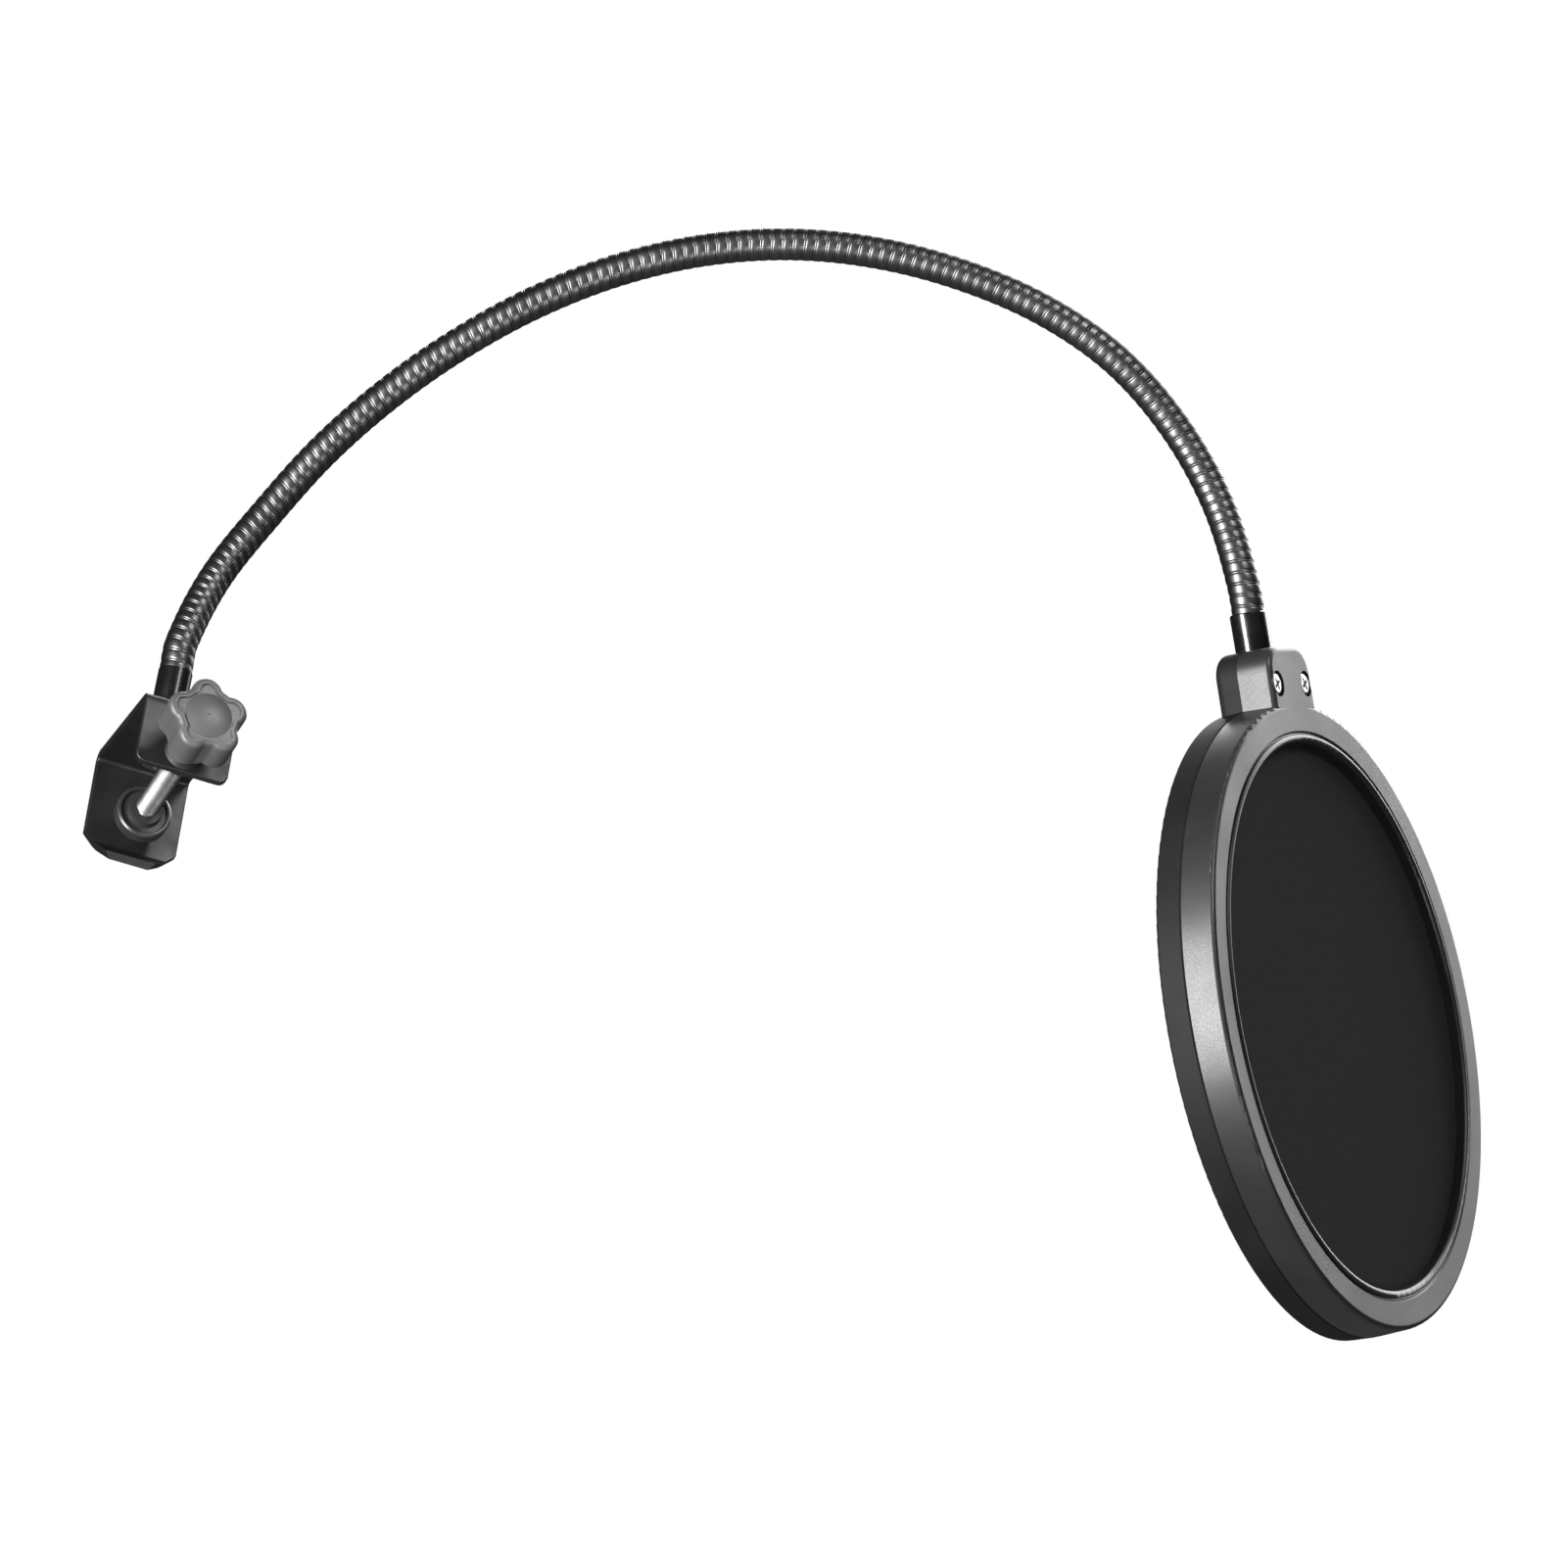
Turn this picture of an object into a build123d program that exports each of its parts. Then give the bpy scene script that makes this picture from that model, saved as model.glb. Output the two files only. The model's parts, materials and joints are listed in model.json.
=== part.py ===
from build123d import *
from math import asin, atan2, cos, degrees, radians, sin, tan
import os

# A pop filter: a ring with two stretched meshes, on a gooseneck that stands on a screw clamp.
# Millimetres, +Z up. The origin is on the clamp's fixed jaw face, where the screw axis meets it.

os.makedirs("parts", exist_ok=True)


def facing(origin, azimuth, rise, roll):
    """A plane that looks along an azimuth in plan and a rise above level, turned about its normal."""
    east, up = radians(azimuth), radians(rise)
    normal = Vector(cos(east) * cos(up), sin(east) * cos(up), sin(up))
    level = Vector(-sin(east), cos(east), 0)
    return Plane(origin, x_dir=level.rotate(Axis((0, 0, 0), normal), roll), z_dir=normal)


def section_of(plane):
    """The plane that holds a turned piece's profile: X is the radius and Y is the height along its axis."""
    return Plane(plane.origin, x_dir=plane.x_dir, z_dir=-plane.y_dir)


def axis_of(plane):
    return Axis(plane.origin, plane.z_dir)


# ---- Clamp: driving dimensions -----------------------------------------------------------------------

CLEARANCE = 0.05  # radial, between a shaft and the bore that it turns or slides in
SHEET = 2.0
BEND_RADIUS = 1.9  # of the sheet's middle
SHEARED_EDGE = 0.35
JAW_WIDTH = 23.2
THROAT = 40.5  # fixed jaw to front arm
THROAT_DEPTH = 16.3  # screw axis to the underside of the spine, at the fixed jaw
SPINE_FALL = 4.7  # the spine comes down by this much on its way to the front arm
JAW_DROP = 7.0  # the fixed jaw below the screw axis, down to the lip's bend
JAW_SHOULDER = 4.0  # below the screw axis, where the cut corners start
JAW_CUT = 9.0  # each way, at 45 degrees: it runs on past the lip's tip
LIP_REACH = 3.0
FRONT_ARM_DROP = 5.6
FRONT_ARM_CORNER = 2.2

SCREW_RADIUS = 2.95
BUSH_RADIUS = 4.5
BUSH_FLANGE_RADIUS = 5.2
BUSH_FLANGE = 1.2
BUSH_ROLL = 1.0  # the rolled end stands this far out of the front arm
BUSH_ROLL_LIP = 0.5

PAD_REST = 6.0  # gap between the fixed jaw and the pad as shown
PAD_RADIUS = 6.8
PAD_DEPTH = 4.5
BALL_RADIUS = 2.2
BALL_SET_IN = 1.2  # the ball's centre, in from the pad's back
BALL_PIN_RADIUS = 1.4
BALL_PIN = 8.0  # depth of the pin's hole in the rod
BALL_PIN_SHORT = 0.5
ROD_STANDOFF = 0.4
SCREW_SHOWING = 37.5  # pad to knob

KNOB_HEIGHT = 14.6
KNOB_COLLAR = 4.0
KNOB_COLLAR_RADIUS = 6.0
KNOB_CORE_RADIUS = 8.0
LOBE_RADIUS = 3.9
LOBE_CIRCLE = 6.2
LOBES = 5
FIRST_LOBE = 28.5  # degrees from the jaw's x towards its y
LOBE_BLEND = 1.4
KNOB_RIM = 1.7
KNOB_DISH = 0.6  # the end face is dished by this much inside its rim
KNOB_DOME_RADIUS = 5.9
KNOB_DOME = 1.1
INSERT_RADIUS = 4.4
INSERT_DEPTH = 11.0

# x runs across the jaw, y from the screw axis up to the spine, and z along the screw out to the knob
jaw = facing((0, 0, 0), azimuth=-70.5, rise=25.9, roll=-17.8)
jaw_side = Plane(jaw.origin, x_dir=jaw.z_dir, z_dir=-jaw.x_dir)
screw_section = section_of(jaw)
screw_axis = axis_of(jaw)

NECK_SETBACK = 14.0
half_sheet = SHEET / 2
spine_line = THROAT_DEPTH + half_sheet
spine_slope = atan2(SPINE_FALL, THROAT + SHEET)
spine_height = spine_line - (NECK_SETBACK + half_sheet) * tan(spine_slope) + half_sheet / cos(spine_slope)
spine_top = Plane(
    jaw.from_local_coords((0, spine_height, NECK_SETBACK)),
    x_dir=jaw.x_dir,
    z_dir=jaw.y_dir * cos(spine_slope) + jaw.z_dir * sin(spine_slope),
)

# ---- Clamp bracket: one bent sheet, with a fixed jaw, a spine and a front arm ------------------------

NECK_SCREW_RADIUS = 2.45
NECK_SCREW_PLAY = 0.15

with BuildPart() as clamp_bracket:
    with BuildSketch(jaw_side):
        with BuildLine() as bent_line:
            FilletPolyline(
                (LIP_REACH - half_sheet, -JAW_DROP - LIP_REACH),
                (-half_sheet, -JAW_DROP),
                (-half_sheet, spine_line),
                (THROAT + half_sheet, spine_line - SPINE_FALL),
                (THROAT + half_sheet, -FRONT_ARM_DROP),
                radius=BEND_RADIUS,
            )
        trace(bent_line.line, line_width=SHEET)
    extrude(amount=JAW_WIDTH / 2, both=True)
    # the fixed jaw's lower corners
    with BuildSketch(jaw.offset(-2 * SHEET)):
        for side in (1, -1):
            with BuildLine():
                Polyline(
                    (side * JAW_WIDTH, -JAW_SHOULDER),
                    (side * (JAW_WIDTH / 2), -JAW_SHOULDER),
                    (side * (JAW_WIDTH / 2 - JAW_CUT), -JAW_SHOULDER - JAW_CUT),
                    (side * JAW_WIDTH, -JAW_SHOULDER - JAW_CUT),
                    close=True,
                )
            make_face()
    extrude(amount=6 * SHEET, mode=Mode.SUBTRACT)
    across_the_arm = clamp_bracket.edges().filter_by(screw_axis)
    fillet(across_the_arm.group_by(screw_axis)[-1], radius=FRONT_ARM_CORNER)
    with BuildSketch(jaw.offset(THROAT)):
        Circle(BUSH_RADIUS)
    extrude(amount=SHEET, mode=Mode.SUBTRACT)
    with BuildSketch(spine_top):
        Circle(NECK_SCREW_RADIUS + NECK_SCREW_PLAY)
    extrude(amount=-SHEET, mode=Mode.SUBTRACT)
    sheet_edges = clamp_bracket.faces().filter_by(Axis(jaw.origin, jaw.x_dir)).edges()
    fillet(sheet_edges, radius=SHEARED_EDGE)
clamp_bracket.part.label = "clamp_bracket"
export_step(clamp_bracket.part, "parts/clamp_bracket.step")

# ---- Thread bush: pressed into the front arm and rolled over outside ---------------------------------

with BuildPart() as thread_bush:
    with BuildSketch(screw_section):
        with BuildLine():
            Polyline(
                (SCREW_RADIUS + CLEARANCE, THROAT - BUSH_FLANGE),
                (BUSH_FLANGE_RADIUS, THROAT - BUSH_FLANGE),
                (BUSH_FLANGE_RADIUS, THROAT),
                (BUSH_RADIUS, THROAT),
                (BUSH_RADIUS, THROAT + SHEET),
                (BUSH_RADIUS + BUSH_ROLL_LIP, THROAT + SHEET),
                (BUSH_RADIUS, THROAT + SHEET + BUSH_ROLL),
                (SCREW_RADIUS + CLEARANCE, THROAT + SHEET + BUSH_ROLL),
                close=True,
            )
        make_face()
    revolve(axis=screw_axis)
thread_bush.part.label = "thread_bush"
export_step(thread_bush.part, "parts/thread_bush.step")

# ---- Swivel ball and pressure pad --------------------------------------------------------------------

pad_back = PAD_REST + PAD_DEPTH
ball_centre = pad_back - BALL_SET_IN
rod_end = ball_centre + BALL_RADIUS + ROD_STANDOFF
pin_length = rod_end + BALL_PIN - BALL_PIN_SHORT - ball_centre

with BuildPart() as swivel_ball:
    with BuildSketch(screw_section):
        with Locations((0, ball_centre)):
            Circle(BALL_RADIUS)
            Rectangle(2 * BALL_PIN_RADIUS, pin_length, align=(Align.CENTER, Align.MIN))
        with Locations((-PAD_RADIUS, ball_centre)):
            Rectangle(2 * PAD_RADIUS, 4 * BALL_PIN, mode=Mode.SUBTRACT)
    revolve(axis=screw_axis)
swivel_ball.part.label = "swivel_ball"
export_step(swivel_ball.part, "parts/swivel_ball.step")

PAD_FACE_RADIUS = 5.8
PAD_FACE_DEPTH = 1.0
PAD_FACE_PROUD = 0.4
PAD_HUB_RADIUS = 4.2
PAD_HUB_TAPER = 0.4
PAD_RIM = 0.5
PAD_RIM_BEVEL = 0.4
PAD_RIM_DROP = 0.8  # the rim's top, in from the pad's back
PAD_WELL = 1.6  # the floor between the rim and the hub, in from the pad's back
pad_floor = PAD_REST + PAD_FACE_DEPTH
pad_rim_inside = PAD_RADIUS - PAD_RIM_BEVEL - PAD_RIM

with BuildPart() as pad_cup:
    with BuildSketch(screw_section):
        with BuildLine():
            Polyline(
                (0, pad_floor),
                (PAD_FACE_RADIUS, pad_floor),
                (PAD_FACE_RADIUS, PAD_REST + PAD_FACE_PROUD),
                (PAD_RADIUS, PAD_REST + PAD_FACE_PROUD),
                (PAD_RADIUS, pad_back - PAD_RIM_DROP - PAD_RIM_BEVEL),
                (PAD_RADIUS - PAD_RIM_BEVEL, pad_back - PAD_RIM_DROP),
                (pad_rim_inside, pad_back - PAD_RIM_DROP),
                (pad_rim_inside - PAD_RIM, pad_back - PAD_WELL),
                (PAD_HUB_RADIUS, pad_back - PAD_WELL),
                (PAD_HUB_RADIUS - PAD_HUB_TAPER, pad_back),
                (0, pad_back),
                close=True,
            )
        make_face()
        with Locations((0, ball_centre)):
            Circle(BALL_RADIUS + CLEARANCE, mode=Mode.SUBTRACT)
        with Locations((-PAD_RADIUS, ball_centre)):
            Rectangle(2 * PAD_RADIUS, 4 * PAD_DEPTH, mode=Mode.SUBTRACT)
    revolve(axis=screw_axis)
pad_cup.part.label = "pad_cup"
export_step(pad_cup.part, "parts/pad_cup.step")

with BuildPart() as pad_face:
    with BuildSketch(jaw.offset(PAD_REST)):
        Circle(PAD_FACE_RADIUS)
    extrude(amount=PAD_FACE_DEPTH)
pad_face.part.label = "pad_face"
export_step(pad_face.part, "parts/pad_face.step")

# ---- Clamp screw and knob ----------------------------------------------------------------------------

ROD_CHAMFER = 0.6
FACE_FILLET = 1.4  # round the knob's end face
SKIRT_FILLET = 0.8
knob_base = pad_back + SCREW_SHOWING
knob_top = knob_base + KNOB_HEIGHT
dome_curve = (KNOB_DOME_RADIUS**2 + KNOB_DOME**2) / (2 * KNOB_DOME)
dome_sweep = degrees(asin(KNOB_DOME_RADIUS / dome_curve))
dome_foot = knob_top - 2 * KNOB_DISH

with BuildPart() as screw_rod:
    with BuildSketch(jaw.offset(rod_end)):
        Circle(SCREW_RADIUS)
    extrude(amount=knob_base + INSERT_DEPTH - rod_end)
    chamfer(screw_rod.edges().group_by(screw_axis)[0], length=ROD_CHAMFER)
    with BuildSketch(jaw.offset(rod_end)):
        Circle(BALL_PIN_RADIUS + CLEARANCE)
    extrude(amount=BALL_PIN, mode=Mode.SUBTRACT)
screw_rod.part.label = "screw_rod"
export_step(screw_rod.part, "parts/screw_rod.step")

with BuildPart() as knob_insert:
    with BuildSketch(jaw.offset(knob_base)):
        RegularPolygon(radius=INSERT_RADIUS, side_count=6)
        Circle(SCREW_RADIUS, mode=Mode.SUBTRACT)
    extrude(amount=INSERT_DEPTH)
knob_insert.part.label = "knob_insert"
export_step(knob_insert.part, "parts/knob_insert.step")

with BuildPart() as knob_body:
    with BuildSketch(jaw.offset(knob_base + KNOB_COLLAR)) as lobed:
        Circle(KNOB_CORE_RADIUS)
        with PolarLocations(LOBE_CIRCLE, LOBES, start_angle=FIRST_LOBE):
            Circle(LOBE_RADIUS)
        fillet(lobed.vertices(), radius=LOBE_BLEND)
    extrude(amount=KNOB_HEIGHT - KNOB_COLLAR)
    fillet(knob_body.faces().sort_by(screw_axis)[-1].edges(), radius=FACE_FILLET)
    fillet(knob_body.faces().sort_by(screw_axis)[0].edges(), radius=SKIRT_FILLET)
    with BuildSketch(jaw.offset(knob_top)) as dished:
        Circle(KNOB_CORE_RADIUS - KNOB_RIM)
        with PolarLocations(LOBE_CIRCLE, LOBES, start_angle=FIRST_LOBE):
            Circle(LOBE_RADIUS - KNOB_RIM)
        fillet(dished.vertices(), radius=LOBE_BLEND)
    extrude(amount=-KNOB_DISH, mode=Mode.SUBTRACT)
    with BuildSketch(screw_section):
        with BuildLine():
            dome = JernArc((0, knob_top - KNOB_DISH + KNOB_DOME), (1, 0), dome_curve, -dome_sweep)
            Polyline(dome @ 1, (KNOB_DOME_RADIUS, dome_foot), (0, dome_foot), dome @ 0)
        make_face()
    revolve(axis=screw_axis)
    with BuildSketch(jaw.offset(knob_base)):
        Circle(KNOB_COLLAR_RADIUS)
    extrude(amount=KNOB_COLLAR)
    with BuildSketch(jaw.offset(knob_base)):
        RegularPolygon(radius=INSERT_RADIUS, side_count=6)
    extrude(amount=INSERT_DEPTH, mode=Mode.SUBTRACT)
knob_body.part.label = "knob_body"
export_step(knob_body.part, "parts/knob_body.step")

# ---- Neck: lower ferrule, its screw and washer -------------------------------------------------------

COIL_RADIUS = 4.0
FERRULE_RADIUS = 4.15
COIL_BORE_RADIUS = 1.8
FERRULE_HEIGHT = 19.0
SPIGOT = 7.0
WASHER = 1.0
WASHER_RADIUS = 5.0
NECK_SCREW_DEPTH = 8.0
DRILL_ALLOWANCE = 1.0
NECK_SCREW_HEAD_RADIUS = 4.3
NECK_SCREW_HEAD = 2.8
NECK_SCREW_CROSS = (4.4, 1.1)
NECK_SCREW_CROSS_DEPTH = 1.5

ferrule_section = section_of(spine_top)
ferrule_axis = axis_of(spine_top)

with BuildPart() as lower_ferrule:
    with BuildSketch(ferrule_section):
        with BuildLine():
            Polyline(
                (NECK_SCREW_RADIUS + CLEARANCE, 0),
                (FERRULE_RADIUS, 0),
                (FERRULE_RADIUS, FERRULE_HEIGHT),
                (COIL_BORE_RADIUS - CLEARANCE, FERRULE_HEIGHT),
                (COIL_BORE_RADIUS - CLEARANCE, FERRULE_HEIGHT + SPIGOT),
                (0, FERRULE_HEIGHT + SPIGOT),
                (0, NECK_SCREW_DEPTH + DRILL_ALLOWANCE),
                (NECK_SCREW_RADIUS + CLEARANCE, NECK_SCREW_DEPTH + DRILL_ALLOWANCE),
                close=True,
            )
        make_face()
    revolve(axis=ferrule_axis)
lower_ferrule.part.label = "lower_ferrule"
export_step(lower_ferrule.part, "parts/lower_ferrule.step")

with BuildPart() as neck_washer:
    with BuildSketch(spine_top.offset(-SHEET - WASHER)):
        Circle(WASHER_RADIUS)
        Circle(NECK_SCREW_RADIUS + NECK_SCREW_PLAY, mode=Mode.SUBTRACT)
    extrude(amount=WASHER)
neck_washer.part.label = "neck_washer"
export_step(neck_washer.part, "parts/neck_washer.step")

neck_screw_seat = -SHEET - WASHER

with BuildPart() as neck_screw:
    with BuildSketch(spine_top.offset(neck_screw_seat - NECK_SCREW_HEAD)):
        Circle(NECK_SCREW_HEAD_RADIUS)
    extrude(amount=NECK_SCREW_HEAD)
    fillet(neck_screw.edges().group_by(ferrule_axis)[0], radius=NECK_SCREW_HEAD / 2)
    with BuildSketch(spine_top.offset(neck_screw_seat)):
        Circle(NECK_SCREW_RADIUS)
    extrude(amount=NECK_SCREW_DEPTH - neck_screw_seat)
    with BuildSketch(spine_top.offset(neck_screw_seat - NECK_SCREW_HEAD)):
        Rectangle(*NECK_SCREW_CROSS)
        Rectangle(*NECK_SCREW_CROSS, rotation=90)
    extrude(amount=NECK_SCREW_CROSS_DEPTH, mode=Mode.SUBTRACT)
neck_screw.part.label = "neck_screw"
export_step(neck_screw.part, "parts/neck_screw.step")

# ---- Filter head: driving dimensions -----------------------------------------------------------------

RING_RADIUS = 77.0
RING_HALF = 7.8  # half the ring's thickness at the flat of the bezel
WALL_DRAFT = 0.3  # taken off the outer wall's radius between the seam and the bezel
FRONT_ROUND = 1.2  # the outer wall turns into the front bezel
REAR_ROUND = 1.0
OPENING_RADIUS = 67.0
BEAD_WIDTH = 1.8  # a round bead along the lip of the opening
BEAD = 0.35  # the bead stands this far above the bezel
BEAD_GROOVE = 0.5
WALL = 1.8
SEAM = -1.0  # where the two shells meet, towards the back
SEAM_BEVEL = 0.3
MESH_HEIGHT = 5.2
MESH = 0.2
MESH_RADIUS = 71.0
SKIRT_RADIUS = MESH_RADIUS + 0.1
SKIRT = 1.4

TAB_TOP = 90.6
TAB_HALF_WIDTH = 12.4
TAB_TOP_HALF_WIDTH = 11.9
TAB_CORNER = 6.5
TAB_BACK = -7.4
TAB_FRONT_ROUND = 1.5
TAB_BACK_ROUND = 2.4
TAB_ROOT = 75.4  # within the thickness of the outer wall

# the ring's z looks out of its front, and its y runs up to the tab
ring = facing((284.9, 26.2, -46.5), azimuth=-23.3, rise=10.4, roll=0.0)
ring_section = section_of(ring)
ring_axis = axis_of(ring)

# ---- Gooseneck: lengths of one coil between evenly spaced pivots -------------------------------------

PIVOTS = 17
FERRULE_LEAD = 8.0  # the coil is straight this far out of each ferrule
COIL_GRIP = 8.0  # how far the coil goes into the upper ferrule
JOINT_GAP = 0.15
JOINT_CONE = 12.5  # degrees: two neighbours can tilt by twice this before they touch
SLEEVE_TOP = 100.0
SLEEVE_SETBACK = -0.6

sleeve_top = Plane(
    ring.from_local_coords((0, SLEEVE_TOP, SLEEVE_SETBACK)),
    x_dir=ring.x_dir,
    z_dir=ring.y_dir,
)
first_pivot = spine_top.origin + spine_top.z_dir * (FERRULE_HEIGHT + FERRULE_LEAD)
last_pivot = sleeve_top.origin + sleeve_top.z_dir * FERRULE_LEAD

with BuildLine() as neck_curve:
    Spline(
        first_pivot,
        (21.8, 20.0, 63.1),
        (41.2, 28.0, 86.5),
        (70.0, 33.0, 111.2),
        (110.3, 37.0, 132.4),
        (155.0, 39.5, 140.7),
        (199.8, 41.0, 133.1),
        (238.9, 41.0, 110.4),
        (260.2, 39.5, 79.2),
        last_pivot,
        tangents=(spine_top.z_dir, -sleeve_top.z_dir),
        tangent_scalars=(1, 1),
    )
pivots = [neck_curve.line @ (step / (PIVOTS - 1)) for step in range(PIVOTS)]
neck_points = [
    spine_top.origin + spine_top.z_dir * FERRULE_HEIGHT,
    *pivots,
    sleeve_top.origin - sleeve_top.z_dir * COIL_GRIP,
]


def coil_end(radius, at_pivot):
    """How far a length of coil stays short of its end, at a radius: it is coned at a pivot."""
    return JOINT_GAP / 2 + radius * tan(radians(JOINT_CONE)) if at_pivot else 0


for number, (low, high) in enumerate(zip(neck_points, neck_points[1:]), 1):
    run = Plane(low, z_dir=high - low)
    length = (high - low).length
    from_pivot, to_pivot = number > 1, number <= PIVOTS
    with BuildPart() as gooseneck_coil:
        with BuildSketch(section_of(run)):
            with BuildLine():
                Polyline(
                    (COIL_BORE_RADIUS, coil_end(COIL_BORE_RADIUS, from_pivot)),
                    (COIL_RADIUS, coil_end(COIL_RADIUS, from_pivot)),
                    (COIL_RADIUS, length - coil_end(COIL_RADIUS, to_pivot)),
                    (COIL_BORE_RADIUS, length - coil_end(COIL_BORE_RADIUS, to_pivot)),
                    close=True,
                )
            make_face()
        revolve(axis=axis_of(run))
    gooseneck_coil.part.label = f"gooseneck_coil_{number:02d}"
    export_step(gooseneck_coil.part, f"parts/gooseneck_coil_{number:02d}.step")

# ---- Upper ferrule: holds the coil's end, and sits in the tab by its foot flange ---------------------

SLEEVE_RADIUS = 4.5
SLEEVE_BEVEL = 0.3
SLEEVE_LENGTH = 22.0
FOOT_RADIUS = 5.4
FOOT = 1.5
FOOT_PLAY = 0.1

sleeve_section = section_of(sleeve_top)
sleeve_axis = axis_of(sleeve_top)

with BuildPart() as upper_ferrule:
    with BuildSketch(sleeve_section):
        with BuildLine():
            Polyline(
                (COIL_RADIUS + CLEARANCE, 0),
                (SLEEVE_RADIUS - SLEEVE_BEVEL, 0),
                (SLEEVE_RADIUS, -SLEEVE_BEVEL),
                (SLEEVE_RADIUS, FOOT - SLEEVE_LENGTH),
                (FOOT_RADIUS, FOOT - SLEEVE_LENGTH),
                (FOOT_RADIUS, -SLEEVE_LENGTH),
                (0, -SLEEVE_LENGTH),
                (0, -COIL_GRIP),
                (COIL_RADIUS + CLEARANCE, -COIL_GRIP),
                close=True,
            )
        make_face()
    revolve(axis=sleeve_axis)
upper_ferrule.part.label = "upper_ferrule"
export_step(upper_ferrule.part, "parts/upper_ferrule.step")

# ---- Ring shells: two moulded halves that close on each other at the seam, each with half of the tab -

TAB_SCREW_X = 8.45
TAB_SCREW_Y = 81.3
SCREW_HEAD_RADIUS = 3.0
SCREW_RECESS_RADIUS = 3.2
SCREW_HEAD = 2.2
SCREW_HEAD_ROUND = 1.1
SCREW_CROSS = (3.2, 0.8)
SCREW_CROSS_TURN = 30
SCREW_CROSS_DEPTH = 1.0
SCREW_SEAT = 5.3
SCREW_SHANK_RADIUS = 1.4
SCREW_SHANK_PLAY = 0.2
SCREW_TIP = -5.0
SCREW_TIP_ROOM = 0.5


def lip_and_skirt(side):
    """The profile from the bezel's inner edge over the beaded lip to the skirt round the mesh.

    The side is 1 at the front and -1 at the back.
    """
    face, land, bead = side * RING_HALF, side * (MESH_HEIGHT + MESH / 2), side * (RING_HALF + BEAD)
    groove, bead_edge = face - side * BEAD_GROOVE, OPENING_RADIUS + BEAD_WIDTH
    Polyline(
        (bead_edge + 2 * BEAD_GROOVE, face),
        (bead_edge + BEAD_GROOVE, groove),
        (bead_edge, groove),
        (bead_edge, face),
    )
    ThreePointArc(
        (bead_edge, face),
        (OPENING_RADIUS + BEAD_WIDTH / 2, bead),
        (OPENING_RADIUS, face - side * BEAD_GROOVE),
    )
    Polyline(
        (OPENING_RADIUS, face - side * BEAD_GROOVE),
        (OPENING_RADIUS, land),
        (SKIRT_RADIUS, land),
        (SKIRT_RADIUS, SEAM),
        (SKIRT_RADIUS + SKIRT, SEAM),
        (SKIRT_RADIUS + SKIRT, face - side * WALL),
        (RING_RADIUS - WALL, face - side * WALL),
        (RING_RADIUS - WALL, SEAM),
        (RING_RADIUS - SEAM_BEVEL, SEAM),
    )


def outer_wall(side, edge_round):
    """The profile from the seam along the outer wall and round onto the bezel."""
    face, top_radius = side * RING_HALF, RING_RADIUS - WALL_DRAFT
    corner = edge_round * (1 - cos(radians(45)))
    Polyline(
        (RING_RADIUS - SEAM_BEVEL, SEAM),
        (RING_RADIUS, SEAM + side * SEAM_BEVEL),
        (top_radius, face - side * edge_round),
    )
    ThreePointArc(
        (top_radius, face - side * edge_round),
        (top_radius - corner, face - side * corner),
        (top_radius - edge_round, face),
    )
    Line((top_radius - edge_round, face), (OPENING_RADIUS + BEAD_WIDTH + 2 * BEAD_GROOVE, face))


with BuildSketch(ring.offset(SEAM)) as tab_outline:
    with BuildLine():
        FilletPolyline(
            (-TAB_HALF_WIDTH, TAB_ROOT),
            (-TAB_TOP_HALF_WIDTH, TAB_TOP),
            (TAB_TOP_HALF_WIDTH, TAB_TOP),
            (TAB_HALF_WIDTH, TAB_ROOT),
            radius=TAB_CORNER,
        )
        Line((TAB_HALF_WIDTH, TAB_ROOT), (-TAB_HALF_WIDTH, TAB_ROOT))
    make_face()

tab_root = Axis(ring.origin, ring.y_dir)  # the tab's root edge comes first along this, and stays sharp

with BuildPart() as front_tab:
    extrude(tab_outline.sketch, amount=RING_HALF - SEAM)
    fillet(front_tab.faces().sort_by(ring_axis)[-1].edges().sort_by(tab_root)[1:], radius=TAB_FRONT_ROUND)

with BuildPart() as rear_tab:
    extrude(tab_outline.sketch, amount=TAB_BACK - SEAM)
    fillet(rear_tab.faces().sort_by(ring_axis)[0].edges().sort_by(tab_root)[1:], radius=TAB_BACK_ROUND)

# the round channel for the upper ferrule, with its wider groove for the foot flange
with BuildPart() as ferrule_channel:
    with BuildSketch(sleeve_section):
        with BuildLine():
            Polyline(
                (0, -SLEEVE_LENGTH - FOOT_PLAY),
                (FOOT_RADIUS + FOOT_PLAY, -SLEEVE_LENGTH - FOOT_PLAY),
                (FOOT_RADIUS + FOOT_PLAY, -SLEEVE_LENGTH + FOOT + FOOT_PLAY),
                (SLEEVE_RADIUS + CLEARANCE, -SLEEVE_LENGTH + FOOT + FOOT_PLAY),
                (SLEEVE_RADIUS + CLEARANCE, 0),
                (0, 0),
                close=True,
            )
        make_face()
    revolve(axis=sleeve_axis)

tab_screw_places = [(-TAB_SCREW_X, TAB_SCREW_Y), (TAB_SCREW_X, TAB_SCREW_Y)]

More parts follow.
